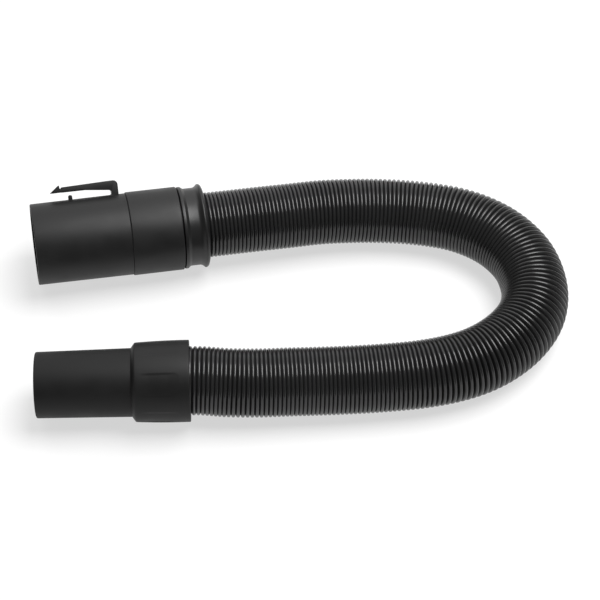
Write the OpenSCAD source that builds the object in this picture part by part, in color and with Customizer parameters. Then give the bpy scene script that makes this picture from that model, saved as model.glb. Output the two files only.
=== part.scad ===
// Ribbed vacuum hose with a latching swivel plug at one end and a tapered tool end at the other.
// Sizes are in millimetres. The hose lies on the floor at Z = 0.

/* [Hose] */
// Diameter over the rib crests
hose_od = 36.8; // [35:0.1:40]
// Height of a rib above its root
rib_depth = 1.5; // [0.6:0.1:2]
// Wall of the hose under the ribs
hose_wall = 1.7; // [1:0.05:2.5]
// Distance from one rib to the next where the hose is straight
rib_pitch = 2.2; // [2.1:0.01:5]

/* [Machine plug] */
// Outside diameter at the mouth
plug_mouth_d = 45.2; // [43:0.1:46]
// Outside diameter where the plug meets the collar
plug_root_d = 45.8; // [45.2:0.1:46.8]
// Length from the mouth to the collar
plug_len = 53.1; // [51:0.1:70]
// Wall at the mouth
plug_wall = 2.6; // [1.5:0.05:3]
// Length of the plug's tail inside the collar
tail_len = 12; // [8:0.5:13]
// Wall of the tail
tail_wall = 1.6; // [1:0.05:1.7]

/* [Latch] */
// Turn of the latch about the plug, from straight up
latch_roll = -46.5; // [-180:0.5:180]
// Width of the arm and its post
latch_w = 9; // [6:0.5:12]
// Top of the arm above the plug, at its root
latch_rise = 7.9; // [7.5:0.1:9]
// Distance from the mouth to the post's outer face
post_at = 49.6; // [46:0.1:50.5]
// Thickness of the post
post_t = 3.8; // [3:0.1:5]
// Thickness of the arm at its root
arm_root_t = 5.2; // [4.6:0.1:5.4]
// Thickness of the arm near its tip
arm_tip_t = 3; // [2.4:0.1:3.2]
// Length of the arm from its pivot to its rounded tip
arm_len = 26.6; // [24:0.1:28]
// Drop of the arm's top from its root to its tip
arm_drop = 0.8; // [0:0.1:1]
// Length of the barb ahead of the arm
barb_len = 6.5; // [5:0.1:8]
// Height of the barb above the arm
barb_rise = 1.3; // [0.5:0.1:2]
// Distance from the mouth to the middle of the stop nub
nub_at = 22.8; // [21:0.1:30]
// Thickness of the stop nub
nub_t = 2.2; // [1.5:0.1:3]
// Height of the stop nub above the plug
nub_rise = 2.5; // [1:0.1:2.6]
// Width of the stop nub
nub_w = 5; // [3:0.5:9]

/* [Swivel] */
// Length of the collar
collar_len = 28.4; // [24:0.1:34]
// Wall of the collar
collar_wall = 1.45; // [1.2:0.05:3]
// Thickness of the gasket
gasket_t = 2; // [1:0.1:3]
// Thickness of the neck's trapped flange
catch_t = 2.7; // [2:0.1:4]
// Height of the trapped flange above the journal
catch_rise = 1.4; // [1:0.1:2]
// Clearance of the turning faces
swivel_gap = 0.3; // [0.2:0.05:0.5]
// Width of the groove between the collar and the neck
groove_w = 1.1; // [0.8:0.1:3]

/* [Neck] */
// Wall of the neck around the hose
neck_wall = 2.7; // [2.3:0.05:3.2]
// Step from the neck's body down to its journal
journal_step = 1.55; // [1.2:0.05:1.8]
// Length of the neck from its lip to the hose
neck_len = 13.4; // [12.5:0.1:18]
// Length of hose held in the neck
neck_grip = 10.1; // [6:0.1:10.5]
// Drop from the collar's outside to the neck's lip
lip_drop = 0.35; // [0.2:0.05:1]
// Width of the rim around the hose
rim_w = 3.2; // [3:0.1:5]
// Height of the rim above the neck's body
rim_rise = 1.95; // [1:0.05:2.5]

/* [Tool end] */
// Outside diameter at the mouth
tool_mouth_d = 35; // [34:0.1:36]
// Outside diameter where the tube meets its collar
tool_root_d = 36.4; // [35.5:0.1:38]
// Length from the mouth to the collar
tool_len = 50.5; // [40:0.5:80]
// Wall at the mouth
tool_wall = 2.5; // [1.5:0.1:3]
// Length of the soft collar
sleeve_len = 30.6; // [26:0.1:40]
// Wall of the soft collar
sleeve_wall = 2.6; // [2.6:0.1:3.2]
// Swell of the soft collar over the straight line from end to end
sleeve_swell = 0.3; // [0:0.05:0.6]
// Length of hose held in the soft collar
sleeve_grip = 17; // [12:0.5:19]
// Wall of the spigot inside the hose
spigot_wall = 1.6; // [1:0.1:2]
// Number of grip panels around the soft collar
panel_count = 6; // [4:1:7]
// Depth of a grip panel
panel_depth = 0.25; // [0.2:0.05:0.6]
// Angle that a grip panel covers
panel_span = 32; // [20:1:40]

/* [Hidden] */
// Centre line of the hose, from the machine end round the bend to the tool end
route = [
    [-61.5, 46.7, 24.15], [-25.5, 53.67, 22.66], [-5, 57.75, 21.5], [14, 61.2, 20.8],
    [32, 63.25, 19.7], [48, 63.95, 18.9], [63, 63.3, 18.5], [78, 61.15, 18.4],
    [91, 57.8, 18.4], [103, 52.2, 18.4], [113, 45, 18.4], [121.1, 36.1, 18.4],
    [127.4, 25.2, 18.4], [130.85, 12, 18.4], [131.2, -1, 18.4], [127.9, -13.7, 18.4],
    [120.8, -25.3, 18.4], [110.7, -35.55, 18.4], [98.1, -43.9, 18.4], [84, -49.55, 18.4],
    [68, -53.35, 18.4], [50, -55.65, 18.4], [32, -57.25, 18.5], [14, -58.5, 18.9],
    [-4, -59.6, 19.5], [-20, -60.65, 20], [-36, -60.9, 20.6], [-54, -60.48, 21.75],
    [-73, -61.4, 22.05]
];
last = len(route) - 1;
// Points taken on each span of the route
span_points = 6;
// Distance along the line over which its direction is taken
heading_step = 2;
// Distance to each side over which the line's bend is taken
bend_step = 10;
// Sides of a hose ring and the distance between the bore's rings
ring_sides = 10;
bore_step = 9;
// Corner circle of a ring that has the area of the round hose
ring_scale = sqrt(2 * PI / (ring_sides * sin(360 / ring_sides)));
round_fn = 96;
small_fn = 48;

// Fits between fixed pieces
fit_gap = 0.1;
// Clearance of the latch's root in its seat
seat_gap = 0.3;
// Small edge breaks
edge = 0.6;

// Hose rings
hose_r = hose_od / 2;
root_r = hose_r - rib_depth;
bore_r = root_r - hose_wall;
crest_corner_r = hose_r * ring_scale;
bore_flat_r = bore_r * ring_scale * cos(180 / ring_sides);

// Machine end, along its axis from the mouth
plug_mouth_r = plug_mouth_d / 2;
plug_root_r = plug_root_d / 2;
plug_bore_r = plug_mouth_r - plug_wall;
tail_r = plug_bore_r + tail_wall;
tail_end = plug_len + tail_len;
gasket_end = tail_end + gasket_t;
catch_face = gasket_end + swivel_gap;
catch_back = catch_face + catch_t;
lip_face = catch_back + swivel_gap;
collar_end = plug_len + collar_len;
neck_start = collar_end + groove_w;
neck_end = neck_start + neck_len;
hose_seat = neck_end - neck_grip;

// Machine end, radii
socket_r = crest_corner_r + fit_gap;
neck_body_r = socket_r + neck_wall;
journal_r = neck_body_r - journal_step;
catch_r = max(journal_r + catch_rise, tail_r);
chamber_r = catch_r + swivel_gap;
collar_r = chamber_r + collar_wall;
lip_r = max(collar_r - lip_drop, neck_body_r + edge);
rim_r = neck_body_r + rim_rise;
// Inward step that the hose end rests on, and the throat ahead of it
seat_r = bore_r + edge;
seat_t = 2;
throat_step = 1.2;
throat_r = seat_r + throat_step;
// Lip of the neck and the slope behind it
lip_w = 1.3;
lip_slope = 1.6;
collar_round = 0.9;
rim_round = 1.3;

// Latch, in the plane of the plug's axis
arm_top = max(plug_mouth_r, plug_root_r) + latch_rise;
tip_top = arm_top - arm_drop;
barrel_r = arm_root_t / 2;
post_inner = post_at - post_t;
pivot_inset = 0.9;
pivot = [post_inner - pivot_inset, arm_top - barrel_r];
// How deep the post and the nub run into the plug's wall
post_sink = 1.8;
nub_sink = 1.2;
post_base = plug_root_r - post_sink;
nub_base = plug_mouth_r - nub_sink;
nub_top = plug_mouth_r + (plug_root_r - plug_mouth_r) * nub_at / plug_len + nub_rise;
post_round = 2.5;
slot_round = 1.2;
arm_tip_at = pivot.x - arm_len;
arm_tip_r = arm_tip_t / 2;
arm_waist_at = pivot.x - arm_len / 2;
barb_at = arm_tip_at - barb_len;
barb_t = 2.3;
barb_back = 1.3;
barb_peak = [barb_at + barb_len - barb_back, tip_top + barb_rise];

// Tool end, along its axis from the mouth
tool_mouth_r = tool_mouth_d / 2;
tool_root_r = tool_root_d / 2;
tool_bore_r = tool_mouth_r - tool_wall;
sleeve_end = tool_len + sleeve_len;
tool_seat = sleeve_end - sleeve_grip;
spigot_inset = 4;
spigot_gap = 0.2;
spigot_end = sleeve_end - spigot_inset;
spigot_r = bore_flat_r - spigot_gap;
spigot_bore_r = min(spigot_r - spigot_wall, tool_bore_r);
web_t = 2;
sleeve_front_r = tool_root_r + fit_gap + sleeve_wall;
sleeve_back_r = crest_corner_r + fit_gap + sleeve_wall;
sleeve_round = 2.5;
// Straight pieces that the swelling side of the soft collar is drawn with
sleeve_steps = 6;
// Plain border of the soft collar before and behind its panels
panel_border = 5;
// How far a cut runs out past the surface it opens
cut_over = 1;

function unit(v) = v / norm(v);

// The first and last spans are straight, so their inner ends keep the span's direction.
function heading_at(i) =
    i <= 1 ? unit(route[1] - route[0])
    : i >= last - 1 ? unit(route[last] - route[last - 1])
    : unit(route[i + 1] - route[i - 1]);

function span_point(i, u) =
    let (reach = norm(route[i + 1] - route[i]))
    (2 * u ^ 3 - 3 * u ^ 2 + 1) * route[i]
    + (u ^ 3 - 2 * u ^ 2 + u) * reach * heading_at(i)
    + (3 * u ^ 2 - 2 * u ^ 3) * route[i + 1]
    + (u ^ 3 - u ^ 2) * reach * heading_at(i + 1);

line = [
    for (i = [0:last - 1]) for (k = [0:span_points - 1]) span_point(i, k / span_points),
    route[last]
];
line_last = len(line) - 1;
stations = [
    for (i = 0, s = 0; i <= line_last; s = s + norm(line[min(i + 1, line_last)] - line[i]), i = i + 1) s
];
hose_len = stations[line_last];
bore_rings = ceil(hose_len / bore_step);

tables = [for (axis = [0:2]) [for (i = [0:line_last]) [stations[i], line[i][axis]]]];

function at(s) = [for (axis = [0:2]) lookup(s, tables[axis])];

function heading(s) = unit(at(s + heading_step) - at(s - heading_step));

// One over the radius of the line's bend around a place
function bend(s) =
    norm(heading(min(s + bend_step, hose_len)) - heading(max(s - bend_step, 0))) / (2 * bend_step);

// The ribs stay packed on the inner side of a bend, so the hose stretches there along its line.
function packed_step(i) =
    let (a = stations[i], b = stations[min(i + 1, line_last)])
    (b - a) / (1 + bend((a + b) / 2) * hose_r);

packed = [for (i = 0, w = 0; i <= line_last; w = w + packed_step(i), i = i + 1) w];
packed_len = packed[line_last];
rib_count = min(200, floor(packed_len / rib_pitch));
rib_table = [for (i = [0:line_last]) [packed[i], stations[i]]];

function ring(s, r) =
    let (p = at(s), along = heading(s), side = unit(cross(along, [0, 0, 1])), over = cross(side, along))
    [for (k = [0:ring_sides - 1])
        let (turn = k * 360 / ring_sides)
        p + r * ring_scale * (cos(turn) * side + sin(turn) * over)];

// Triangles of a skin of rings whose first point is number start.
function skin(start, rings, inward) = [
    for (j = [0:rings - 2]) for (k = [0:ring_sides - 1])
        let (
            a = start + j * ring_sides + k,
            b = start + j * ring_sides + (k + 1) % ring_sides,
            c = b + ring_sides,
            d = a + ring_sides
        )
        each inward ? [[a, b, c], [a, c, d]] : [[a, c, b], [a, d, c]]
];

// Triangles of the flat ring between an outer and an inner ring.
function end_face(outer, inner, facing_back) = [
    for (k = [0:ring_sides - 1])
        let (
            a = outer + k,
            b = outer + (k + 1) % ring_sides,
            c = inner + (k + 1) % ring_sides,
            d = inner + k
        )
        each facing_back ? [[a, b, c], [a, c, d]] : [[a, c, b], [a, d, c]]
];

// Turns a profile of [radius, distance] points about the X axis.
module lathe() {
    rotate([0, 90, 0])
        rotate_extrude($fn = round_fn)
            children();
}

// Draws a plate in the X-Z plane, centred on it.
module plate(width) {
    rotate([90, 0, 0])
        linear_extrude(width, center = true)
            children();
}

machine_axis = heading_at(0);
module at_machine() {
    translate(route[0])
        rotate([0, asin(-machine_axis.z), atan2(machine_axis.y, machine_axis.x)])
            translate([-hose_seat, 0, 0])
                children();
}

tool_axis = -heading_at(last);
module at_tool() {
    translate(route[last])
        rotate([0, asin(-tool_axis.z), atan2(tool_axis.y, tool_axis.x)])
            translate([-tool_seat, 0, 0])
                children();
}

module post_profile() {
    difference() {
        union() {
            polygon([
                [post_inner, post_base], [post_at, post_base], [post_at, arm_top - post_round],
                [post_at - post_round, arm_top], [post_inner, arm_top]
            ]);
            translate([post_at - post_round, arm_top - post_round])
                circle(post_round, $fn = small_fn);
            polygon([
                [post_inner - slot_round, post_base], [post_at, post_base],
                [post_at, plug_root_r + slot_round], [post_inner - slot_round, plug_root_r + slot_round]
            ]);
        }
        translate(pivot)
            circle(barrel_r + seat_gap, $fn = small_fn);
        translate([post_inner - slot_round, plug_root_r + slot_round])
            circle(slot_round, $fn = small_fn);
    }
}

module nub_profile() {
    translate([nub_at, nub_top - nub_t / 2])
        circle(nub_t / 2, $fn = small_fn);
    translate([nub_at - nub_t / 2, nub_base])
        square([nub_t, nub_top - nub_t / 2 - nub_base]);
}

module arm_profile() {
    translate(pivot)
        circle(barrel_r, $fn = small_fn);
    translate([arm_tip_at + arm_tip_r, tip_top - arm_tip_r])
        circle(arm_tip_r, $fn = small_fn);
    polygon([
        [pivot.x, arm_top], [arm_tip_at + arm_tip_r, tip_top],
        [arm_tip_at + arm_tip_r, tip_top - arm_tip_t], [arm_waist_at, tip_top - arm_tip_t],
        [pivot.x, arm_top - arm_root_t]
    ]);
    polygon([
        [arm_tip_at + arm_tip_r, tip_top - edge], [barb_peak.x + edge, tip_top - edge],
        [barb_peak.x + edge, barb_peak.y - edge], barb_peak,
        [barb_at, tip_top - arm_tip_t + edge / 2], [barb_at, tip_top - arm_tip_t],
        [barb_at + barb_len / 3, tip_top - edge - barb_t],
        [arm_tip_at + arm_tip_r, tip_top - edge - barb_t]
    ]);
}

module plug_tube() {
    color([0.06, 0.06, 0.06])
        at_machine() {
            lathe()
                polygon([
                    [plug_bore_r + edge, 0], [plug_mouth_r - edge, 0], [plug_mouth_r, edge],
                    [plug_root_r, plug_len - edge / 2], [plug_root_r - edge / 2, plug_len],
                    [tail_r, plug_len], [tail_r, tail_end],
                    [plug_bore_r, tail_end], [plug_bore_r, edge]
                ]);
            rotate([latch_roll, 0, 0]) {
                plate(latch_w)
                    post_profile();
                plate(nub_w)
                    nub_profile();
            }
        }
}

module latch_arm() {
    color([0.06, 0.06, 0.06])
        at_machine()
            rotate([latch_roll, 0, 0])
                plate(latch_w)
                    arm_profile();
}

module swivel_collar() {
    color([0.07, 0.07, 0.07])
        at_machine()
            lathe() {
                polygon([
                    [tail_r + fit_gap, plug_len], [collar_r - edge, plug_len], [collar_r, plug_len + edge],
                    [collar_r, collar_end - collar_round], [collar_r - collar_round, collar_end],
                    [journal_r + swivel_gap, collar_end], [journal_r + swivel_gap, lip_face],
                    [chamber_r, lip_face], [chamber_r, tail_end], [tail_r + fit_gap, tail_end]
                ]);
                translate([collar_r - collar_round, collar_end - collar_round])
                    circle(collar_round, $fn = small_fn);
            }
}

module swivel_gasket() {
    color([0.12, 0.12, 0.12])
        at_machine()
            lathe()
                polygon([
                    [plug_bore_r, tail_end], [chamber_r - fit_gap, tail_end],
                    [chamber_r - fit_gap, gasket_end], [plug_bore_r, gasket_end]
                ]);
}

module swivel_neck() {
    color([0.06, 0.06, 0.06])
        at_machine()
            lathe() {
                polygon([
                    [throat_r, catch_face], [catch_r, catch_face], [catch_r, catch_back],
                    [journal_r, catch_back], [journal_r, neck_start], [lip_r - edge, neck_start],
                    [lip_r, neck_start + edge], [lip_r, neck_start + lip_w],
                    [neck_body_r, neck_start + lip_w + lip_slope], [neck_body_r, neck_end],
                    [socket_r, neck_end], [socket_r, hose_seat], [seat_r, hose_seat],
                    [seat_r, hose_seat - seat_t], [throat_r, hose_seat - 2 * seat_t]
                ]);
                polygon([
                    [neck_body_r - edge, neck_end - rim_w], [neck_body_r, neck_end - rim_w],
                    [rim_r - rim_round, neck_end - rim_w], [rim_r, neck_end - rim_w + rim_round],
                    [rim_r, neck_end - rim_round], [rim_r - rim_round, neck_end],
                    [neck_body_r - edge, neck_end]
                ]);
                translate([rim_r - rim_round, neck_end - rim_w + rim_round])
                    circle(rim_round, $fn = small_fn);
                translate([rim_r - rim_round, neck_end - rim_round])
                    circle(rim_round, $fn = small_fn);
            }
}

module hose_tube() {
    outer_rings = 2 * rib_count + 1;
    outer_points = [
        for (j = [0:outer_rings - 1])
            each ring(lookup(j * packed_len / (outer_rings - 1), rib_table), j % 2 == 0 ? root_r : hose_r)
    ];
    inner_points = [
        for (j = [0:bore_rings])
            each ring(j * hose_len / bore_rings, bore_r)
    ];
    inner_start = len(outer_points);
    color([0.04, 0.04, 0.04])
        polyhedron(
            points = concat(outer_points, inner_points),
            faces = concat(
                skin(0, outer_rings, false),
                skin(inner_start, bore_rings + 1, true),
                end_face(0, inner_start, true),
                end_face(inner_start - ring_sides, inner_start + bore_rings * ring_sides, false)
            )
        );
}

module tool_tube() {
    color([0.06, 0.06, 0.06])
        at_tool()
            lathe()
                polygon([
                    [tool_bore_r + edge, 0], [tool_mouth_r - edge, 0], [tool_mouth_r, edge],
                    [tool_root_r, tool_len], [tool_root_r, tool_seat], [spigot_r, tool_seat],
                    [spigot_r, spigot_end - edge], [spigot_r - edge, spigot_end],
                    [spigot_bore_r, spigot_end], [spigot_bore_r, tool_seat - web_t],
                    [tool_bore_r, tool_seat - 2 * web_t], [tool_bore_r, edge]
                ]);
}

// Radius of the soft collar's outside at a distance from the tool mouth
function sleeve_r_at(a) =
    let (u = (a - tool_len) / sleeve_len)
    sleeve_front_r + (sleeve_back_r - sleeve_front_r) * u + 4 * sleeve_swell * u * (1 - u);

// Points of the soft collar's side from one distance to another, raised by a height
function sleeve_side(from, to, rise) = [
    for (k = [0:sleeve_steps])
        let (a = from + k * (to - from) / sleeve_steps)
        [sleeve_r_at(a) + rise, a]
];

module tool_collar() {
    panel_front = tool_len + panel_border;
    panel_back = sleeve_end - panel_border;
    // Middle of the round on the collar's front shoulder
    shoulder = [sleeve_r_at(tool_len + sleeve_round) - sleeve_round, tool_len + sleeve_round];
    color([0.05, 0.05, 0.05])
        at_tool()
            difference() {
                lathe()
                    difference() {
                        union() {
                            polygon(concat(
                                [[0, tool_len], [shoulder.x, tool_len]],
                                sleeve_side(shoulder.y, sleeve_end - edge, 0),
                                [[sleeve_back_r - edge, sleeve_end], [0, sleeve_end]]
                            ));
                            translate(shoulder)
                                circle(sleeve_round, $fn = small_fn);
                        }
                        square([tool_root_r + fit_gap, sleeve_end + cut_over]);
                        translate([0, tool_seat])
                            square([crest_corner_r + fit_gap, sleeve_grip + cut_over]);
                    }
                for (k = [0:panel_count - 1])
                    rotate([k * 360 / panel_count, 0, 0])
                        rotate([0, 90, 0])
                            rotate_extrude(angle = panel_span, $fn = round_fn)
                                polygon(concat(
                                    [[sleeve_r_at(panel_front) + cut_over, panel_front],
                                        [sleeve_r_at(panel_back) + cut_over, panel_back]],
                                    sleeve_side(panel_back, panel_front, -panel_depth)
                                ));
            }
}

plug_tube();
latch_arm();
swivel_collar();
swivel_gasket();
swivel_neck();
hose_tube();
tool_tube();
tool_collar();
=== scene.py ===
"""Dressed model of a ribbed vacuum hose with a latching swivel plug and a tapered tool end."""
import logging
import math
from bisect import bisect_right
from dataclasses import dataclass
from enum import Enum
from typing import Callable, ClassVar, Optional, Sequence

import bmesh
import bpy
from bmesh.types import BMesh
from bpy.types import Material, Mesh, NodeSocket, NodeTree, Object
from mathutils import Matrix, Vector


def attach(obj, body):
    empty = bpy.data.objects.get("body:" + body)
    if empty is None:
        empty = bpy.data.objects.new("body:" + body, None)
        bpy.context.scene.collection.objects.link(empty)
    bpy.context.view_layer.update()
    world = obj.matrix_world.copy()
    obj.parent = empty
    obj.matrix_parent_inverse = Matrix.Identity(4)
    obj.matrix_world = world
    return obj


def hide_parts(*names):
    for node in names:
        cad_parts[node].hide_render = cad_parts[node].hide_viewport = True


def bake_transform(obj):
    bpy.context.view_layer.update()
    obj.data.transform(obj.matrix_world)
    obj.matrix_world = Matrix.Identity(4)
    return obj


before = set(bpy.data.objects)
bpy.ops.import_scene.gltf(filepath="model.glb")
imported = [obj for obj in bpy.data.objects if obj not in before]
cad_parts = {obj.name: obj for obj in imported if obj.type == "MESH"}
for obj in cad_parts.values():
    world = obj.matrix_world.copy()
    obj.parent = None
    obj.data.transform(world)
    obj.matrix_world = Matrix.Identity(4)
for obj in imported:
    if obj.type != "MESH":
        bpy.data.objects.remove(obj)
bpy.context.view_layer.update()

MM = 0.001
LOG = logging.getLogger("vacuum_hose")
Pair = tuple[float, float]
Triple = tuple[float, float, float]


class Body(Enum):
    """Bodies of the frame that the pieces move with."""

    HOSE = "hose"
    CUFF = "machine_cuff"
    LATCH = "latch"


class Slot(Enum):
    """Material slots of the record, which also name the finishes."""

    PLUG = "plug_plastic"
    COLLAR = "collar_plastic"
    GASKET = "gasket_rubber"
    NECK = "neck_plastic"
    HOSE = "hose_vinyl"
    TOOL = "tool_plastic"
    SLEEVE = "sleeve_vinyl"


@dataclass(frozen=True)
class Corner:
    """A corner of a profile, with the radius that rounds it."""

    along: float
    out: float
    round: float = 0.0


@dataclass(frozen=True)
class Flow:
    """A value that runs through a node tree, and the sums that are made of it."""

    nodes: "Nodes"
    socket: NodeSocket

    def __add__(self, other: object) -> "Flow":
        """Returns this plus another."""
        return self.nodes.math("ADD", self, other)

    def __sub__(self, other: object) -> "Flow":
        """Returns this less another."""
        return self.nodes.math("SUBTRACT", self, other)

    def __rsub__(self, other: float) -> "Flow":
        """Returns a constant less this."""
        return self.nodes.math("SUBTRACT", other, self)

    def __mul__(self, other: object) -> "Flow":
        """Returns this times another."""
        return self.nodes.math("MULTIPLY", self, other)

    def __truediv__(self, other: object) -> "Flow":
        """Returns this over another."""
        return self.nodes.math("DIVIDE", self, other)

    def __pow__(self, other: object) -> "Flow":
        """Returns this to the power of another."""
        return self.nodes.math("POWER", self, other)


class Nodes:
    """Adds nodes to a tree and links them."""

    def __init__(self, tree: NodeTree) -> None:
        """Takes the tree that the nodes go in."""
        self.tree = tree

    def fill(self, socket: NodeSocket, value: object) -> None:
        """Links an input, or sets its value.

        Args:
            socket: The input.
            value: What runs in, or a constant.
        """
        if isinstance(value, Flow):
            self.tree.links.new(value.socket, socket)
        else:
            socket.default_value = value

    def add(
        self, kind: str, output: str, inputs: Optional[dict[str, object]] = None, **settings: object
    ) -> Flow:
        """Adds a node.

        Args:
            kind: Type of the node.
            output: Identifier of the output that is used.
            inputs: Flows and values by the identifier of an input.
            settings: Settings of the node.

        Returns:
            What runs out of the node.
        """
        made = self.tree.nodes.new(kind)
        for name, setting in settings.items():
            setattr(made, name, setting)
        sockets = {s.identifier: s for s in made.inputs}
        for name, value in (inputs or {}).items():
            self.fill(sockets[name], value)
        return Flow(self, next(s for s in made.outputs if s.identifier == output))

    def math(self, operation: str, *values: object) -> Flow:
        """Adds a sum of numbers and returns its result."""
        inputs = dict(zip(("Value", "Value_001"), values))
        return self.add("ShaderNodeMath", "Value", inputs, operation=operation)

    def vector(self, operation: str, *values: object, output: str = "Vector") -> Flow:
        """Adds a sum of vectors and returns its result."""
        inputs = dict(zip(("Vector", "Vector_001"), values))
        return self.add("ShaderNodeVectorMath", output, inputs, operation=operation)


class Painter(Nodes):
    """Adds the nodes of one material and gives them to its shader."""

    NOISE_SPAN: Pair = (0.3, 0.7)

    def __init__(self, name: str) -> None:
        """Starts an empty material.

        Args:
            name: The material's name.
        """
        self.material = bpy.data.materials.new(name)
        self.material.use_nodes = True
        super().__init__(self.material.node_tree)

    def give(self, name: str, value: object) -> None:
        """Links or sets an input of the shader."""
        self.fill(self.tree.nodes["Principled BSDF"].inputs[name], value)

    def object_place(self) -> Flow:
        """Returns the object coordinates."""
        return self.add("ShaderNodeTexCoord", "Object")

    def attribute(self, name: str) -> Flow:
        """Returns a stored number of the mesh."""
        return self.add("ShaderNodeAttribute", "Fac", attribute_name=name)

    def noise(self, place: Flow, cell: float, detail: float) -> Flow:
        """Adds a noise with a cell size in metres and some octaves and returns its value."""
        inputs = {"Vector": place, "Scale": 1 / cell, "Detail": detail}
        return self.add("ShaderNodeTexNoise", "Fac", inputs)

    def spread(self, value: Flow, span: Pair, to: Pair) -> Flow:
        """Maps a value from one span to another and returns it."""
        names = ("Value", "From Min", "From Max", "To Min", "To Max")
        return self.add("ShaderNodeMapRange", "Result", dict(zip(names, (value, *span, *to))))

    def greys(self, value: Flow, shade: float, span: Pair) -> Flow:
        """Runs a grey from dark to light with a noise.

        Args:
            value: The noise's value.
            shade: The grey.
            span: Factors of the grey at its darkest and its lightest.

        Returns:
            The colour.
        """
        ramp = self.add("ShaderNodeValToRGB", "Color", {"Fac": value})
        elements = ramp.socket.node.color_ramp.elements
        for element, position, factor in zip(elements, self.NOISE_SPAN, span):
            element.position = position
            element.color = (factor * shade, factor * shade, factor * shade, 1.0)
        return ramp

    def mix(self, share: Flow, first: Flow, second: Flow) -> Flow:
        """Mixes two colours by a share and returns the colour."""
        inputs = {"Factor_Float": share, "A_Color": first, "B_Color": second}
        return self.add("ShaderNodeMix", "Result_Color", inputs, data_type="RGBA")

    def bump(self, height: Flow, distance: float, strength: float) -> Flow:
        """Turns a height pattern into a normal and returns it."""
        inputs = {"Height": height, "Distance": distance, "Strength": strength}
        return self.add("ShaderNodeBump", "Normal", inputs)


@dataclass(frozen=True)
class MouldedPlastic:
    """A black moulding with a fine spark-eroded grain, slightly uneven gloss and a dull bore
    painted darker as shade.
    """

    slot: Slot
    shade: float
    roughness: float
    specular: float
    grain: float = 0.35 * MM
    grain_depth: float = 0.02 * MM
    grain_strength: float = 0.35
    cloud: float = 14 * MM
    outside: Pair = (0.86, 1.14)
    # Painted shade: factors of the grey in the bore, which is darkened as shade.
    bore: Pair = (0.2, 0.4)
    gloss_swing: float = 0.05
    ior: float = 1.5

    def material(self) -> Material:
        """Builds the node material.

        Returns:
            The finished material.
        """
        painter = Painter(self.slot.value)
        place = painter.object_place()
        grain = painter.noise(place, self.grain, 3.0)
        cloud = painter.noise(place, self.cloud, 4.0)
        in_bore = painter.attribute(Shop.BORE)
        outside = painter.greys(cloud, self.shade, self.outside)
        # Painted shade: the bore's grey is darkened where shade falls inside it.
        inside = painter.greys(cloud, self.shade, self.bore)
        gloss_span = (self.roughness - self.gloss_swing, self.roughness + self.gloss_swing)
        gloss = painter.spread(cloud, Painter.NOISE_SPAN, gloss_span)
        painter.give("IOR", self.ior)
        painter.give("Specular IOR Level", self.specular)
        painter.give("Base Color", painter.mix(in_bore, outside, inside))
        painter.give("Roughness", painter.math("MAXIMUM", gloss, in_bore))
        painter.give("Normal", painter.bump(grain, self.grain_depth, self.grain_strength))
        return painter.material


@dataclass(frozen=True)
class RibbedVinyl:
    """Smooth black vinyl, glossy on the crests, dull in the valleys and painted darker there as
    shade.
    """

    slot: Slot
    height_name: str
    shade: float
    crest_roughness: float
    valley_roughness: float
    crest_specular: float = 0.46
    # Painted shade: the valleys' specular level and grey are lowered to darken the folds.
    valley_specular: float = 0.1
    crest: Pair = (0.8, 1.1)
    valley_shade: Pair = (0.25, 0.4)
    valley_height: float = 0.3
    speck: float = 0.5 * MM
    speck_depth: float = 0.012 * MM
    speck_strength: float = 0.25
    cloud: float = 22 * MM
    ior: float = 1.52

    def material(self) -> Material:
        """Builds the node material.

        Returns:
            The finished material.
        """
        painter = Painter(self.slot.value)
        place = painter.object_place()
        height = painter.attribute(self.height_name)
        speck = painter.noise(place, self.speck, 3.0)
        cloud = painter.noise(place, self.cloud, 3.0)
        # Painted shade: the valleys get a darker grey where the folds lie in shade.
        painted_valley_shade = painter.greys(cloud, self.shade, self.valley_shade)
        high = painter.greys(cloud, self.shade, self.crest)
        full, foot = (0.0, 1.0), (0.0, self.valley_height)
        tone = painter.mix(painter.spread(height, foot, full), painted_valley_shade, high)
        gloss = painter.spread(height, full, (self.valley_roughness, self.crest_roughness))
        # Painted shade: the valleys' reflections are dimmed by a lower specular level.
        shine = painter.spread(height, foot, (self.valley_specular, self.crest_specular))
        painter.give("IOR", self.ior)
        painter.give("Base Color", tone)
        painter.give("Roughness", gloss)
        painter.give("Specular IOR Level", shine)
        painter.give("Normal", painter.bump(speck, self.speck_depth, self.speck_strength))
        return painter.material


@dataclass(frozen=True)
class MatteRubber:
    """Dull dark rubber with a soft grain."""

    slot: Slot
    shade: float
    roughness: float
    mottle: Pair = (0.8, 1.2)
    grain: float = 0.8 * MM
    grain_depth: float = 0.03 * MM
    grain_strength: float = 0.4

    def material(self) -> Material:
        """Builds the node material.

        Returns:
            The finished material.
        """
        painter = Painter(self.slot.value)
        grain = painter.noise(painter.object_place(), self.grain, 5.0)
        painter.give("Roughness", self.roughness)
        painter.give("Base Color", painter.greys(grain, self.shade, self.mottle))
        painter.give("Normal", painter.bump(grain, self.grain_depth, self.grain_strength))
        return painter.material


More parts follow.
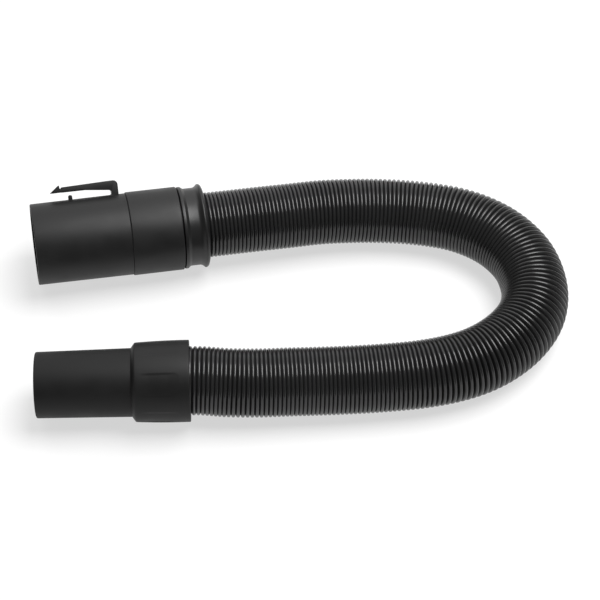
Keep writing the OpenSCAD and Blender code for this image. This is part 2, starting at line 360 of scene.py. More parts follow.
class Route:
    """Centre line of the hose, from the machine end round the bend to the tool end."""

    POINTS_MM: tuple[Triple, ...] = (
        (-61.5, 46.7, 24.15), (-25.5, 53.67, 22.66), (-5.0, 57.75, 21.5), (14.0, 61.2, 20.8),
        (32.0, 63.25, 19.7), (48.0, 63.95, 18.9), (63.0, 63.3, 18.5), (78.0, 61.15, 18.4),
        (91.0, 57.8, 18.4), (103.0, 52.2, 18.4), (113.0, 45.0, 18.4), (121.1, 36.1, 18.4),
        (127.4, 25.2, 18.4), (130.85, 12.0, 18.4), (131.2, -1.0, 18.4), (127.9, -13.7, 18.4),
        (120.8, -25.3, 18.4), (110.7, -35.55, 18.4), (98.1, -43.9, 18.4), (84.0, -49.55, 18.4),
        (68.0, -53.35, 18.4), (50.0, -55.65, 18.4), (32.0, -57.25, 18.5), (14.0, -58.5, 18.9),
        (-4.0, -59.6, 19.5), (-20.0, -60.65, 20.0), (-36.0, -60.9, 20.6),
        (-54.0, -60.48, 21.75), (-73.0, -61.4, 22.05),
    )

    def __init__(self, per_span: int = 24) -> None:
        """Samples the line.

        Args:
            per_span: Points taken on each span of the route.
        """
        self.knots = [Vector((x * MM, y * MM, z * MM)) for x, y, z in self.POINTS_MM]
        self.last = len(self.knots) - 1
        self.line = [
            self.on_span(i, k / per_span) for i in range(self.last) for k in range(per_span)
        ] + [self.knots[-1]]
        self.marks = [0.0]
        for a, b in zip(self.line, self.line[1:]):
            self.marks.append(self.marks[-1] + (b - a).length)
        self.length = self.marks[-1]

    def heading(self, i: int) -> Vector:
        """Finds the line's direction at a knot; the end spans are straight.

        Args:
            i: Number of the knot.

        Returns:
            The direction.
        """
        before, after = i - 1, i + 1
        if i <= 1:
            before, after = 0, 1
        elif i >= self.last - 1:
            before, after = self.last - 1, self.last
        return (self.knots[after] - self.knots[before]).normalized()

    def on_span(self, i: int, u: float) -> Vector:
        """Finds a point on a span.

        Args:
            i: Number of the span.
            u: Share of the span, from 0 to 1.

        Returns:
            The point, in metres.
        """
        reach = (self.knots[i + 1] - self.knots[i]).length
        return (
            (2 * u**3 - 3 * u**2 + 1) * self.knots[i]
            + (u**3 - 2 * u**2 + u) * reach * self.heading(i)
            + (3 * u**2 - 2 * u**3) * self.knots[i + 1]
            + (u**3 - u**2) * reach * self.heading(i + 1)
        )

    def between(self, marks: Sequence[float], at: float) -> Vector:
        """Finds the point at a measure along the line.

        Args:
            marks: Measure of each point of the line.
            at: The measure that is looked for.

        Returns:
            The point, in metres.
        """
        i = min(max(bisect_right(marks, at), 1), len(marks) - 1)
        share = (at - marks[i - 1]) / (marks[i] - marks[i - 1])
        return self.line[i - 1].lerp(self.line[i], min(max(share, 0.0), 1.0))

    def spot(self, s: float) -> Vector:
        """Returns the point at a distance along the line."""
        return self.between(self.marks, s)

    def direction(self, s: float, step: float = 2 * MM) -> Vector:
        """Returns the line's direction at a distance along it."""
        return (self.spot(s + step) - self.spot(s - step)).normalized()

    def bend(self, s: float, reach: float = 10 * MM) -> float:
        """Returns one over the radius of the line's bend around a distance along it."""
        ahead = self.direction(min(s + reach, self.length))
        return (ahead - self.direction(max(s - reach, 0.0))).length / (2 * reach)

    def packed(self, radius: float) -> list[float]:
        """Measures the line as the ribs take it up: they stay packed on the inner side of a bend.

        Args:
            radius: Radius of the hose.

        Returns:
            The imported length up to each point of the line.
        """
        taken = [0.0]
        for a, b in zip(self.marks, self.marks[1:]):
            taken.append(taken[-1] + (b - a) / (1 + radius * self.bend((a + b) / 2)))
        return taken

    def ring_spots(self, count: int, radius: float) -> list[Vector]:
        """Returns the middles of some rings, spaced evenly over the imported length."""
        taken = self.packed(radius)
        return [self.between(taken, taken[-1] * k / (count - 1)) for k in range(count)]

    def end_place(self, at_tail: bool, seat: float) -> Matrix:
        """Finds the frame of the fitting on one end, with X from its mouth to the hose.

        Args:
            at_tail: True for the tool end.
            seat: Distance from the fitting's mouth to the hose's end.

        Returns:
            The matrix from the fitting's own frame to the object's.
        """
        inward = -self.heading(self.last) if at_tail else self.heading(0)
        yaw = math.atan2(inward.y, inward.x)
        tilt = math.asin(-inward.z)
        turn = Matrix.Rotation(yaw, 4, "Z") @ Matrix.Rotation(tilt, 4, "Y")
        start = self.knots[-1] if at_tail else self.knots[0]
        return Matrix.Translation(start) @ turn @ Matrix.Translation((-seat, 0, 0))


class Shop:
    """Ways to make meshes that several sub-assemblies share."""

    BORE: str = "bore_side"
    MOST_OF_A_SIDE: float = 0.48
    EDGE_STEPS: int = 3
    TOUCH: float = 0.01 * MM

    @staticmethod
    def rounded(rows: Sequence[Sequence[float]], steps: int = 6) -> list[Pair]:
        """Rounds the corners of a closed profile.

        Args:
            rows: Distance, radius and any rounding of each corner, in millimetres.
            steps: Points that a rounding is divided into.

        Returns:
            The points of the rounded profile, in metres.
        """
        corners = [Corner(*(size * MM for size in row)) for row in rows]
        points: list[Pair] = []
        for i, corner in enumerate(corners):
            here = Vector((corner.along, corner.out))
            if corner.round <= 0:
                points.append((here.x, here.y))
                continue
            before, after = corners[i - 1], corners[(i + 1) % len(corners)]
            back = Vector((before.along, before.out)) - here
            ahead = Vector((after.along, after.out)) - here
            half = back.angle(ahead) / 2
            room = Shop.MOST_OF_A_SIDE * min(back.length, ahead.length)
            reach = min(corner.round / math.tan(half), room)
            radius = reach * math.tan(half)
            back.normalize()
            ahead.normalize()
            middle = here + (back + ahead).normalized() * radius / math.sin(half)
            first, final = here + back * reach - middle, here + ahead * reach - middle
            sweep = first.angle_signed(final)
            for k in range(steps + 1):
                turn = Matrix.Rotation(-sweep * k / steps, 2)
                spot = middle + turn @ first
                points.append((spot.x, spot.y))
        return points

    @staticmethod
    def finished(name: str, mesh: Mesh, finish: Material) -> Object:
        """Makes an object at the origin from a mesh that is in place.

        Args:
            name: The piece's name.
            mesh: The mesh.
            finish: The material.

        Returns:
            The object.
        """
        mesh.materials.append(finish)
        piece = bpy.data.objects.new(name, mesh)
        bpy.context.scene.collection.objects.link(piece)
        return piece

    @staticmethod
    def closed(name: str, work: BMesh, finish: Material, sharp_deg: float = 32.0) -> Object:
        """Makes an object of closed faces, turned outward and shaded smooth.

        Args:
            name: The piece's name.
            work: The faces, in place.
            finish: The material.
            sharp_deg: Angle from which an edge stays sharp.

        Returns:
            The object.
        """
        bmesh.ops.recalc_face_normals(work, faces=work.faces)
        mesh = bpy.data.meshes.new(name)
        work.to_mesh(mesh)
        work.free()
        mesh.polygons.foreach_set("use_smooth", [True] * len(mesh.polygons))
        mesh.set_sharp_from_angle(angle=math.radians(sharp_deg))
        mesh.update()
        return Shop.finished(name, mesh, finish)

    @staticmethod
    def turned(
        name: str, loop: Sequence[Pair], place: Matrix, finish: Material, sides: int = 160,
        bore: float = 0.0, dent: Optional[Callable[[float, float, float], float]] = None,
    ) -> Object:
        """Turns a closed profile about the X axis of a fitting.

        Args:
            name: The piece's name.
            loop: Distance and radius of each point of the profile.
            place: The fitting's frame.
            finish: The material.
            sides: Sides of a ring.
            bore: Radius up to which the surface is marked as the bore.
            dent: Change of radius at a distance, radius and angle.

        Returns:
            The object.
        """
        work = bmesh.new()
        mark = work.verts.layers.float.new(Shop.BORE)
        rings = []
        for k in range(sides):
            turn = 2 * math.pi * k / sides
            ring = []
            for along, out in loop:
                radius = out + (dent(along, out, turn) if dent else 0.0)
                spot = Vector((along, radius * math.cos(turn), radius * math.sin(turn)))
                vert = work.verts.new(place @ spot)
                vert[mark] = 1.0 if out < bore + Shop.TOUCH else 0.0
                ring.append(vert)
            rings.append(ring)
        for here, after in zip(rings, rings[1:] + rings[:1]):
            for i in range(len(loop)):
                j = (i + 1) % len(loop)
                work.faces.new((here[i], here[j], after[j], after[i]))
        return Shop.closed(name, work, finish)

    @staticmethod
    def plate(
        name: str, loop: Sequence[Pair], place: Matrix, finish: Material, width: float, edge: float
    ) -> Object:
        """Makes a plate of an outline in the X-Z plane, with rounded edges.

        Args:
            name: The piece's name.
            loop: Distance and height of each point of the outline.
            place: Frame of the plate.
            finish: The material.
            width: Width of the plate along Y.
            edge: Radius of the edges.

        Returns:
            The object.
        """
        work = bmesh.new()
        sides = []
        for y in (-width / 2, width / 2):
            sides.append([work.verts.new(place @ Vector((along, y, out))) for along, out in loop])
        caps = [work.faces.new(sides[0]), work.faces.new(sides[1])]
        for i in range(len(loop)):
            j = (i + 1) % len(loop)
            work.faces.new((sides[0][i], sides[0][j], sides[1][j], sides[1][i]))
        bmesh.ops.recalc_face_normals(work, faces=work.faces)
        rims = list({e for cap in caps for e in cap.edges})
        steps = {"segments": Shop.EDGE_STEPS, "profile": 0.5, "affect": "EDGES"}
        bmesh.ops.bevel(work, geom=rims, offset=edge, clamp_overlap=True, **steps)
        return Shop.closed(name, work, finish)


def place_piece(piece: Object, body: Optional[Body], slot: Slot, *nodes: str) -> None:
    """Makes a piece move with a body and stand for its CAD nodes.

    Args:
        piece: The finished piece.
        body: Body that it moves with, or None for a piece that is left unattached.
        slot: Material slot of the record; not used.
        nodes: CAD nodes that it replaces.
    """
    if body:
        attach(piece, body.value)
    if nodes:
        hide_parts(*nodes)
    LOG.info("%s: %d faces", piece.name, len(piece.data.polygons))


class RibTree(Nodes):
    """Geometry nodes that wrap a ribbed tube with a bore round a line."""

    HEIGHT: str = "rib_height"
    KINDS: dict[type, str] = {int: "Int", float: "Float", Material: "Material"}
    NEAR_RIBS: tuple[float, ...] = (-6.0, -4.0, -2.0, 2.0, 4.0, 6.0)
    HALF_WIDTHS_TAKEN: float = 2.1
    SAME_SPOT: float = 0.001 * MM

    def __init__(self, values: dict[str, object]) -> None:
        """Makes the group, its named inputs and its nodes.

        Args:
            values: Value of each named input.
        """
        super().__init__(bpy.data.node_groups.new("ribbed_tube", "GeometryNodeTree"))
        face = self.tree.interface
        face.new_socket("Line", in_out="INPUT", socket_type="NodeSocketGeometry")
        self.inputs: dict[str, str] = {}
        for name, value in values.items():
            kind = f"NodeSocket{self.KINDS[type(value)]}"
            self.inputs[name] = face.new_socket(name, in_out="INPUT", socket_type=kind).identifier
        face.new_socket("Tube", in_out="OUTPUT", socket_type="NodeSocketGeometry")
        self.entry = self.tree.nodes.new("NodeGroupInput")
        self.build()

    def take(self, name: str) -> Flow:
        """Returns a named input of the tree."""
        return Flow(self, self.entry.outputs[name])

    def scaled(self, vector: Flow, by: Flow) -> Flow:
        """Scales a vector and returns it."""
        inputs = {"Vector": vector, "Scale": by}
        return self.add("ShaderNodeVectorMath", "Vector", inputs, operation="SCALE")

    def choose(self, test: Flow, no: Flow, yes: object) -> Flow:
        """Takes one of two numbers by a test of 0 or 1 and returns it."""
        return (1.0 - test) * no + test * yes

    def on_line(self, value: Flow, number: Flow) -> Flow:
        """Reads a vector at a numbered point of the line.

        Args:
            value: The vector all along the line.
            number: Number of the point.

        Returns:
            The vector there.
        """
        inputs = {"Geometry": self.take("Line"), "Value": value, "Index": number}
        return self.add(
            "GeometryNodeSampleIndex", "Value", inputs, data_type="FLOAT_VECTOR", clamp=True
        )

    def ring_facing(self, number: Flow) -> Flow:
        """Averages the line's direction over the ribs near a ring, which evens out its turns.

        Args:
            number: Number of the ring.

        Returns:
            The direction that the ring faces.
        """
        tangent = self.add("GeometryNodeInputTangent", "Tangent")
        total = self.on_line(tangent, number)
        for ribs in self.NEAR_RIBS:
            near = number + self.take("Rings per Rib") * ribs
            total = self.vector("ADD", total, self.on_line(tangent, near))
        return self.vector("NORMALIZE", total)

    def reach(self, along: Flow, turn: Flow) -> Flow:
        """Points from the line to a place on a ring.

        Args:
            along: Direction that the ring faces.
            turn: Angle of the place round the ring.

        Returns:
            The direction.
        """
        side = self.vector("NORMALIZE", self.vector("CROSS_PRODUCT", along, (0.0, 0.0, 1.0)))
        over = self.vector("CROSS_PRODUCT", side, along)
        return self.vector(
            "ADD",
            self.scaled(side, self.math("COSINE", turn)),
            self.scaled(over, self.math("SINE", turn)),
        )

    def rib_gap(self, spot: Flow, number: Flow, turn: Flow) -> Flow:
        """Works out the gap between two ribs, which opens on the outer side of a bend.

        Args:
            spot: Place of the line's points.
            number: Number of the ring.
            turn: Angle of the place round the ring.

        Returns:
            The gap at that place of the ring.
        """
        per_rib = self.take("Rings per Rib")
        rims = []
        for near in (number - per_rib, number + per_rib):
            out = self.scaled(self.reach(self.ring_facing(near), turn), self.take("Crest Radius"))
            rims.append(self.vector("ADD", self.on_line(spot, near), out))
        apart = self.vector("SUBTRACT", rims[1], rims[0])
        pitch = self.vector("DOT_PRODUCT", apart, self.ring_facing(number), output="Value") / 2.0
        return pitch - self.take("Rib Half Width") * self.HALF_WIDTHS_TAKEN

    def rib_shape(self, share: Flow, gap: Flow, on_rib: Flow) -> tuple[Flow, Flow, Flow]:
        """Shapes the round crest of a rib and the fold beside it.

        Args:
            share: Place across the rib, from -1 to 1.
            gap: Gap beside the rib; where it is below 0, the rib is squeezed.
            on_rib: 1 on the rib, 0 in the fold.

        Returns:
            The shift along the line, the radius and the share of the rib's height.
        """
        side, root, depth = (self.take(n) for n in ("Side Angle", "Root Radius", "Fold Depth"))
        half_width = self.take("Rib Half Width") + self.math("MINIMUM", gap / 2.0, 0.0)
        angle = share * side
        power = self.math("DIVIDE", 2.0, self.take("Crest Shape"))
        level = self.math("SINE", angle) / self.math("SINE", side)
        sine = self.math("ABSOLUTE", level) ** power * self.math("SIGN", share)
        bulge = self.math("MAXIMUM", self.math("COSINE", angle), 0.0) ** power
        edge = self.math("COSINE", side) ** power
        fold = self.math("MAXIMUM", gap * self.take("Fold Slope"), 0.0)
        fold = self.math("MINIMUM", fold, depth)
        rise = self.take("Crest Radius") - root
        radius = self.choose(on_rib, root + edge * rise - fold, root + bulge * rise)
        height = self.choose(on_rib, edge * (1.0 - fold / depth), bulge)
        return sine * half_width * on_rib, radius, height

    def hand_out(self, sheet: Flow, place: Flow, height: Flow) -> None:
        """Marks the sheet with the ribs' height, lays it in place, closes it and hands it out.

        Args:
            sheet: The flat sheet.
            place: Place of each point.
            height: Share of the rib's height at each point.
        """
        marks = {"Geometry": sheet, "Name": self.HEIGHT, "Value": height}
        tube = self.add("GeometryNodeStoreNamedAttribute", "Geometry", marks)
        for kind, inputs in (
            ("GeometryNodeSetPosition", {"Position": place}),
            ("GeometryNodeMergeByDistance", {"Distance": self.SAME_SPOT}),
            ("GeometryNodeSetShadeSmooth", {}),
            ("GeometryNodeRealizeInstances", {}),
            ("GeometryNodeSetMaterial", {"Material": self.take("Finish")}),
        ):
            tube = self.add(kind, "Geometry", {"Geometry": tube, **inputs})
        leave = self.tree.nodes.new("NodeGroupOutput")
        self.fill(leave.inputs["Tube"], tube)

    def build(self) -> None:
        """Adds the nodes: a sheet is numbered, rolled into rings and laid along the line."""
        per_rib, bore_rings = self.take("Rings per Rib"), self.take("Bore Rings")
        outer = self.take("Rib Count") * per_rib
        total = outer + bore_rings + 2.0
        counts = {"Vertices X": total + 1.0, "Vertices Y": self.take("Sides") + 1.0}
        sheet = self.add("GeometryNodeMeshGrid", "Mesh", {"Size X": 1.0, "Size Y": 1.0, **counts})
        spot = self.add("GeometryNodeInputPosition", "Position")
        across = self.add("ShaderNodeSeparateXYZ", "X", {"Vector": spot}) + 0.5
        around = self.add("ShaderNodeSeparateXYZ", "Y", {"Vector": spot}) + 0.5
        turn = around * (2 * math.pi)
        ring = self.math("MODULO", self.math("ROUND", across * total), total)
        inside = self.math("GREATER_THAN", ring, outer + 0.5)
        left = 1.0 - (ring - outer - 1.0) / bore_rings
        place_in_rib = self.math("ROUND", self.math("MODULO", ring, per_rib))
        on_rib = self.math("GREATER_THAN", place_in_rib, 0.5) * (1.0 - inside)
        half = per_rib / 2.0
        from_crest = place_in_rib - half
        number = self.choose(on_rib, ring, ring - from_crest)
        number = self.math("ROUND", self.choose(inside, number, outer * left))
        gap = self.rib_gap(spot, number, turn)
        shift, radius, height = self.rib_shape(from_crest / (half - 1.0), gap, on_rib)
        radius = self.choose(inside, radius, self.take("Bore Radius"))
        height = self.choose(inside, height, 0.0)
        along = self.ring_facing(number)
        middle = self.vector("ADD", self.on_line(spot, number), self.scaled(along, shift))
        place = self.vector("ADD", middle, self.scaled(self.reach(along, turn), radius))
        self.hand_out(sheet, place, height)


@dataclass
class HoseRun:
    """The ribbed hose between the two fittings, in metres."""

    route: Route
    crest_radius: float = 18.4 * MM
    root_radius: float = 16.9 * MM
    bore_radius: float = 15.2 * MM
    rib_half_width: float = 1.0 * MM
    side_angle_deg: float = 70.0
    fold_depth: float = 1.5 * MM
    fold_slope: float = 1.4
    rib_pitch: float = 2.2 * MM
    rings_per_rib: int = 8
    sides: int = 64
    bore_rings: int = 50
    crest_shape: float = 2.2
    valley_sharp_deg: float = 60.0
    path_step: int = 4

    def rib_count(self) -> int:
        """Returns the ribs that the line has room for."""
        return math.floor(self.route.packed(self.crest_radius)[-1] / self.rib_pitch)

    def line(self) -> Object:
        """Makes the curve that the ribs are laid along.

        Returns:
            The curve, with a point for each ring.
        """
        curve = bpy.data.curves.new("hose_line", "CURVE")
        curve.dimensions = "3D"
        spline = curve.splines.new("POLY")
        spots = self.route.ring_spots(self.rib_count() * self.rings_per_rib + 1, self.crest_radius)
        spline.points.add(len(spots) - 1)
        for point, spot in zip(spline.points, spots):
            point.co = (*spot, 1.0)
        line = bpy.data.objects.new("hose_line", curve)
        bpy.context.scene.collection.objects.link(line)
        return line

    def ribbed(self, finish: Material) -> Object:
        """Lays the ribs along the line.

        Args:
            finish: The material.

        Returns:
            The hose, as a plain mesh in place.
        """
        values = {
            "Rib Count": self.rib_count(), "Rings per Rib": self.rings_per_rib,
            "Sides": self.sides, "Bore Rings": self.bore_rings,
            "Crest Radius": self.crest_radius, "Root Radius": self.root_radius,
            "Bore Radius": self.bore_radius, "Rib Half Width": self.rib_half_width,
            "Crest Shape": self.crest_shape, "Side Angle": math.radians(self.side_angle_deg),
            "Fold Depth": self.fold_depth, "Fold Slope": self.fold_slope, "Finish": finish,
        }
        line = self.line()
        ribs = RibTree(values)
        modifier = line.modifiers.new("ribs", "NODES")
        modifier.node_group = ribs.tree
        for name, value in values.items():
            modifier[ribs.inputs[name]] = value
        depsgraph = bpy.context.evaluated_depsgraph_get()
        mesh = bpy.data.meshes.new_from_object(line.evaluated_get(depsgraph), depsgraph=depsgraph)
        line.modifiers.remove(modifier)
        bpy.data.objects.remove(line)
        work = bmesh.new()
        work.from_mesh(mesh)
        bpy.data.meshes.remove(mesh)
        return Shop.closed("ribbed_hose", work, finish, self.valley_sharp_deg)

    def build(self) -> None:
        vinyl = RibbedVinyl(
            Slot.HOSE, RibTree.HEIGHT, shade=0.012, crest_roughness=0.2, valley_roughness=0.6
        )
        hose = self.ribbed(vinyl.material())
        place_piece(hose, Body.HOSE, Slot.HOSE, "hose_tube")
        self.route.line[::self.path_step] + [self.route.line[-1]]


@dataclass
class MachineEnd:
    """The plug with its latch, the swivel collar and the hose's neck, in millimetres."""

    route: Route
    plug_mouth_r: float = 22.6
    plug_root_r: float = 22.9
    plug_bore_r: float = 20.0
    plug_len: float = 53.1
    tail_r: float = 21.6
    tail_end: float = 65.1
    tail_fit: float = 0.1
    collar_r: float = 23.42
    collar_end: float = 81.5
    journal_r: float = 20.27
    swivel_gap: float = 0.3
    chamber_r: float = 21.97
    catch_r: float = 21.67
    catch_face: float = 67.4
    catch_back: float = 70.1
    lip_face: float = 82.2
    neck_start: float = 82.6
    neck_end: float = 96.0
    neck_body_r: float = 21.82
    lip_r: float = 23.07
    rim_r: float = 23.77
    rim_w: float = 3.2
    socket_r: float = 18.5
    hose_seat: float = 85.9
    seat_r: float = 15.8
    throat_r: float = 17.0
    latch_roll_deg: float = -46.5
    latch_w: float = 9.0
    latch_edge: float = 0.35
    post_back: float = 49.6
    post_front: float = 43.9
    post_foot: float = 21.6
    arm_top: float = 30.8
    arm_middle: float = 31.0
    arm_front: float = 19.3
    arm_len: float = 25.6
    tip_top: float = 30.0
    under: float = 27.0
    under_bend: float = 31.6
    under_slope: float = 0.105
    bend_cuts: tuple[float, ...] = (38.0, 40.0, 42.0, 44.0)
    bend_start: float = 46.8
    bend_end: float = 38.5
    nub_front: float = 21.7
    nub_back: float = 23.9
    nub_foot: float = 21.4
    nub_top: float = 25.2
    nub_round: float = 1.05
    nub_w: float = 5.0
    nub_edge: float = 0.3

    def place(self) -> Matrix:
        """Returns the frame of the fitting, from its mouth."""
        return self.route.end_place(False, self.hose_seat * MM)

    def latch_place(self) -> Matrix:
        """Returns the frame of the latch, with Z out from the plug's axis."""
        return self.place() @ Matrix.Rotation(math.radians(self.latch_roll_deg), 4, "X")

    def build(self) -> None:
        """Makes and dresses the pieces."""
        place = self.place()
        plug = MouldedPlastic(Slot.PLUG, shade=0.009, roughness=0.5, specular=0.31).material()
        collar = MouldedPlastic(Slot.COLLAR, shade=0.0095, roughness=0.5, specular=0.33).material()
        neck = MouldedPlastic(Slot.NECK, shade=0.008, roughness=0.4, specular=0.4).material()
        bore = self.plug_bore_r * MM
        body = Shop.turned("plug_body", self.plug_profile(), place, plug, bore=bore)
        place_piece(body, Body.CUFF, Slot.PLUG, "plug_tube")
        nub_sizes = (self.nub_w * MM, self.nub_edge * MM)
        nub = Shop.plate("stop_nub", self.nub_outline(), self.latch_place(), plug, *nub_sizes)
        place_piece(nub, Body.CUFF, Slot.PLUG)
        self.latch(plug)
        ring = Shop.turned("swivel_ring", self.collar_profile(), place, collar)
        place_piece(ring, Body.CUFF, Slot.COLLAR, "swivel_collar")
        fitting = Shop.turned("neck_ring", self.neck_profile(), place, neck)
        place_piece(fitting, Body.HOSE, Slot.NECK, "swivel_neck")
        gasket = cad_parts["swivel_gasket"]
        gasket.data.materials.clear()
        gasket.data.materials.append(MatteRubber(Slot.GASKET, shade=0.03, roughness=0.8).material())

    def plug_profile(self) -> list[Pair]:
        """Draws the plug tube and its tail.

        Returns:
            The profile.
        """
        return Shop.rounded([
            (0, self.plug_bore_r, 0.2), (0, self.plug_mouth_r, 0.5),
            (self.plug_len, self.plug_root_r, 0.35), (self.plug_len, self.tail_r),
            (self.tail_end, self.tail_r), (self.tail_end, self.plug_bore_r),
        ])

    def nub_outline(self) -> list[Pair]:
        """Draws the nub that stops the pressed arm.

        Returns:
            The outline.
        """
        return Shop.rounded([
            (self.nub_front, self.nub_foot), (self.nub_front, self.nub_top, self.nub_round),
            (self.nub_back, self.nub_top, self.nub_round), (self.nub_back, self.nub_foot),
        ])

    def latch_outline(self) -> list[Pair]:
        """Draws the post, the springy arm and its barb, with cuts where the arm bends.

        Returns:
            The outline, from the post's back over the arm and its barb to the post's front.
        """
        tip, lift = self.tip_top, self.arm_top - self.tip_top
        upper = (*reversed(self.bend_cuts), self.arm_middle)
        barb = (
            (18.6, tip, 0.6), (18.0, 29.3, 0.2), (17.45, 29.3, 0.15), (17.15, 31.3, 0.25),
            (11.8, 27.15, 0.15), (13.6, 27.05, 0.4), (17.6, 27.1, 0.3),
        )
        return Shop.rounded([
            (self.post_back, self.post_foot),
            (self.post_back, self.arm_top, 2.5),
            *((a, tip + lift * (a - self.arm_front) / self.arm_len) for a in upper),
            *barb,
            (self.arm_front, self.under, 0.6),
            (self.under_bend, self.under, 6.0),
            *((a, self.under - self.under_slope * (a - self.under_bend)) for a in self.bend_cuts),
            (45.8, 25.5, 1.2),
            (45.8, 22.8, 1.2),
            (self.post_front, 22.7),
            (self.post_front, self.post_foot),
        ])

    def latch(self, finish: Material) -> None:
        """Makes the post and the springy arm as the one moulding that they are.

        Args:
            finish: The material.
        """
        place = self.latch_place()
        sizes = (self.latch_w * MM, self.latch_edge * MM)
        piece = Shop.plate("latch_moulding", self.latch_outline(), place, finish, *sizes)
        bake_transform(piece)
        place_piece(piece, None, Slot.PLUG, "latch_arm")

    def collar_profile(self) -> list[Pair]:
        """Draws the swivel collar, which is plain all round.

        Returns:
            The profile.
        """
        fit, lip = self.tail_r + self.tail_fit, self.journal_r + self.swivel_gap
        lip_face = self.catch_back + self.swivel_gap
        return Shop.rounded([
            (self.plug_len, fit), (self.plug_len, self.collar_r, 0.6),
            (self.collar_end, self.collar_r, 0.45), (self.collar_end, lip, 0.2),
            (lip_face, lip), (lip_face, self.chamber_r),
            (self.tail_end, self.chamber_r), (self.tail_end, fit),
        ])

    def neck_profile(self) -> list[Pair]:
        """Draws the neck with its trapped flange, lip and rim.

        Returns:
            The profile.
        """
        rim_start = self.neck_end - self.rim_w
        return Shop.rounded([
            (self.catch_face, self.throat_r, 0.3), (self.catch_face, self.catch_r, 0.3),
            (self.catch_back, self.catch_r, 0.3), (self.catch_back, self.journal_r, 0.2),
            (self.lip_face, self.journal_r, 0.2), (self.lip_face, self.lip_r, 0.4),
            (self.neck_start + 1.3, self.lip_r, 0.5),
            (self.neck_start + 2.9, self.neck_body_r, 1.0),
            (rim_start - 1.0, self.neck_body_r, 3.0), (rim_start + 1.2, self.rim_r, 0.8),
            (self.neck_end - 0.7, self.rim_r - 0.7, 1.2), (self.neck_end, self.rim_r - 2.6, 0.5),
            (self.neck_end, self.socket_r, 0.4), (self.hose_seat, self.socket_r),
            (self.hose_seat, self.seat_r, 0.3), (self.hose_seat - 2, self.seat_r, 0.3),
            (self.hose_seat - 4, self.throat_r, 0.5),
        ])


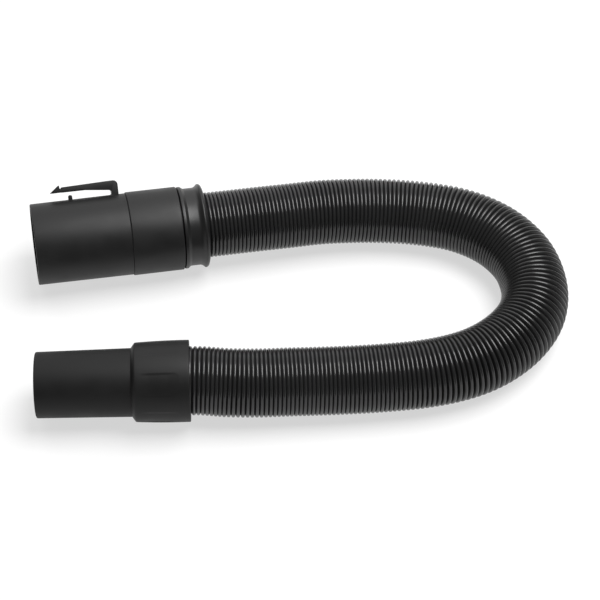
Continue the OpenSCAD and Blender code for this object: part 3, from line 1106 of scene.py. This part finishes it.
@dataclass
class ToolEnd:
    """The tapered tool tube and the soft collar that holds the hose on it, in millimetres."""

    route: Route
    mouth_r: float = 17.5
    root_r: float = 18.2
    bore_r: float = 15.0
    tube_len: float = 50.5
    seat: float = 64.1
    spigot_r: float = 14.74
    spigot_bore_r: float = 13.14
    spigot_end: float = 77.1
    sleeve_end: float = 81.1
    sleeve_front_r: float = 20.9
    sleeve_back_r: float = 21.72
    sleeve_swell: float = 0.3
    sleeve_bore_r: float = 18.3
    sleeve_steps: int = 84
    sleeve_sides: int = 288
    shoulder_peak: float = 1.7
    shoulder_len: float = 4.0
    back_len: float = 1.0
    socket_r: float = 18.5
    socket_wall: float = 0.5
    panel_count: int = 6
    panel_span_deg: float = 32.0
    panel_turn_deg: float = -4.0
    panel_depth: float = 0.25
    panel_front: float = 3.4
    panel_back: float = 5.2
    panel_fade: float = 6.0
    panel_corner: float = 3.0
    panel_edge: float = 0.8

    def build(self) -> None:
        """Makes and dresses the pieces."""
        place = self.route.end_place(True, self.seat * MM)
        plastic = MouldedPlastic(Slot.TOOL, shade=0.008, roughness=0.55, specular=0.21).material()
        vinyl = MouldedPlastic(
            Slot.SLEEVE, shade=0.008, roughness=0.5, specular=0.23, grain=0.5 * MM
        ).material()
        bore = self.bore_r * MM
        tube = Shop.turned("tool_tube_body", self.tube_profile(), place, plastic, bore=bore)
        place_piece(tube, Body.HOSE, Slot.TOOL, "tool_tube")
        shape = {"sides": self.sleeve_sides, "dent": self.panel_dent}
        sleeve = Shop.turned("soft_sleeve", self.sleeve_profile(), place, vinyl, **shape)
        place_piece(sleeve, Body.HOSE, Slot.SLEEVE, "tool_collar")

    def tube_profile(self) -> list[Pair]:
        """Draws the tapered tube with its spigot.

        Returns:
            The profile.
        """
        return Shop.rounded([
            (0, self.bore_r, 0.5), (0, self.mouth_r, 0.8),
            (self.tube_len, self.root_r), (self.seat, self.root_r),
            (self.seat, self.spigot_r), (self.spigot_end, self.spigot_r, 0.5),
            (self.spigot_end, self.spigot_bore_r, 0.3), (self.seat - 2, self.spigot_bore_r, 0.5),
            (self.seat - 4, self.bore_r, 0.5),
        ])

    def panel_dent(self, along: float, out: float, turn: float) -> float:
        """Finds how far a grip panel sinks the soft collar.

        Args:
            along: Distance from the mouth, in metres.
            out: Radius before the change, in metres.
            turn: Angle about the axis, in radians.

        Returns:
            The change of radius, in metres.
        """
        along, out = along / MM, out / MM
        if out < self.socket_r + self.socket_wall:
            return 0.0
        pitch = 2 * math.pi / self.panel_count
        half_span = math.radians(self.panel_span_deg) / 2
        middle = half_span + math.radians(self.panel_turn_deg)
        across = abs((turn - middle + pitch / 2) % pitch - pitch / 2) * out
        half_w = half_span * out
        start, stop = self.tube_len + self.panel_front, self.sleeve_end - self.panel_back
        half_l = (stop - start) / 2
        lengthwise = abs(along - (start + stop) / 2)
        dx = max(0.0, lengthwise - half_l + self.panel_corner)
        dy = max(0.0, across - half_w + self.panel_corner)
        inset = self.panel_corner - math.hypot(dx, dy)
        share = min(1.0, max(0.0, inset / self.panel_edge))
        fade = min(1.0, max(0.0, (half_l - lengthwise) / self.panel_fade))
        return -self.panel_depth * fade * share * share * (3 - 2 * share) * MM

    def on_sleeve(self, along: float) -> Pair:
        """Finds a point on the outside of the swelling collar.

        Args:
            along: Distance from the mouth.

        Returns:
            The distance and the radius.
        """
        share = (along - self.tube_len) / (self.sleeve_end - self.tube_len)
        straight = self.sleeve_front_r + (self.sleeve_back_r - self.sleeve_front_r) * share
        return along, straight + 4 * self.sleeve_swell * share * (1 - share)

    def sleeve_profile(self) -> list[Pair]:
        """Draws the soft collar, with points along it for its shallow grip panels.

        Returns:
            The profile.
        """
        first, final = self.tube_len + self.shoulder_len, self.sleeve_end - self.back_len
        steps = range(self.sleeve_steps + 1)
        outside = [self.on_sleeve(first + (final - first) * k / self.sleeve_steps) for k in steps]
        return Shop.rounded([
            (self.tube_len, self.sleeve_bore_r),
            (self.tube_len, self.sleeve_bore_r + 0.3, 0.2),
            (*self.on_sleeve(self.tube_len + self.shoulder_peak), 1.3),
            *outside,
            (self.sleeve_end, self.sleeve_back_r, 0.6),
            (self.sleeve_end, self.socket_r, 0.4),
            (self.seat, self.socket_r),
            (self.seat, self.sleeve_bore_r),
        ])


@dataclass(frozen=True)
class SoftBox:
    """A studio light: its name, its width and depth, its place and its power."""

    name: str
    size: Pair
    place: Triple
    watts: float


@dataclass
class Studio:
    """The pale floor, the soft overhead light and the camera of the photograph, in metres."""

    WHITE: ClassVar[tuple[float, ...]] = (1.0, 1.0, 1.0, 1.0)

    target: Triple = (2.1 * MM, -2.0 * MM, 18.4 * MM)
    distance: float = 1.0719
    elevation_deg: float = 50.0
    lens_mm: float = 117.06
    sensor_mm: float = 36.0
    clip: Pair = (0.01, 50.0)
    boxes: tuple[SoftBox, ...] = (
        SoftBox("soft_top", (0.9, 0.8), (0.42, 0.07, 1.3), 24.0),
        SoftBox("soft_middle", (2.4, 0.6), (0.0, 0.72, 1.25), 6.0),
        SoftBox("soft_back", (2.6, 1.3), (0.0, 1.6, 0.85), 11.0),
    )
    surround: float = 0.18
    floor_half: float = 4.0
    floor_roughness: float = 0.9
    floor_greys: Pair = (0.31, 0.33)
    floor_cell: float = 1 / 3
    floor_glow: float = 0.62

    def build(self) -> None:
        """Makes the camera, the lights and the floor."""
        self.camera()
        for box in self.boxes:
            self.hang(box)
        self.world()
        self.floor()

    def camera(self) -> None:
        """Stands the camera in front of the hose, looking down at it."""
        data = bpy.data.cameras.new("camera")
        data.lens = self.lens_mm
        data.sensor_width = self.sensor_mm
        data.clip_start, data.clip_end = self.clip
        camera = bpy.data.objects.new("camera", data)
        up = math.radians(self.elevation_deg)
        back = Vector((0.0, -math.cos(up), math.sin(up)))
        camera.location = Vector(self.target) + back * self.distance
        camera.rotation_euler = (-back).to_track_quat("-Z", "Y").to_euler()
        bpy.context.scene.collection.objects.link(camera)
        bpy.context.scene.camera = camera

    def hang(self, box: SoftBox) -> None:
        """Hangs a soft box that faces the hose.

        Args:
            box: The soft box.
        """
        data = bpy.data.lights.new(box.name, "AREA")
        data.shape = "RECTANGLE"
        data.size, data.size_y = box.size
        data.energy = box.watts
        light = bpy.data.objects.new(box.name, data)
        light.location = box.place
        facing = Vector(self.target) - Vector(box.place)
        light.rotation_euler = facing.to_track_quat("-Z", "Y").to_euler()
        bpy.context.scene.collection.objects.link(light)

    def world(self) -> None:
        """Sets the surrounding light."""
        world = bpy.data.worlds.new("studio")
        world.use_nodes = True
        sky = world.node_tree.nodes["Background"]
        sky.inputs["Color"].default_value = self.WHITE
        sky.inputs["Strength"].default_value = self.surround
        bpy.context.scene.world = world
        bpy.context.scene.view_settings.view_transform = "Standard"

    def floor(self) -> None:
        """Lays the pale floor."""
        work = bmesh.new()
        bmesh.ops.create_grid(work, x_segments=1, y_segments=1, size=self.floor_half)
        mesh = bpy.data.meshes.new("floor")
        work.to_mesh(mesh)
        work.free()
        painter = Painter("pale_floor")
        cloud = painter.noise(painter.object_place(), self.floor_cell, 2.0)
        painter.give("Base Color", painter.greys(cloud, 1.0, self.floor_greys))
        painter.give("Roughness", self.floor_roughness)
        painter.give("Emission Color", self.WHITE)
        painter.give("Emission Strength", self.floor_glow)
        floor = Shop.finished("floor", mesh, painter.material)


def main() -> None:
    """Builds the scene in order: camera and light, hose, machine end, tool end."""
    logging.basicConfig(level=logging.INFO, format="%(name)s %(message)s")
    route = Route()
    Studio().build()
    HoseRun(route).build()
    MachineEnd(route).build()
    ToolEnd(route).build()


if __name__ == "__main__":
    main()
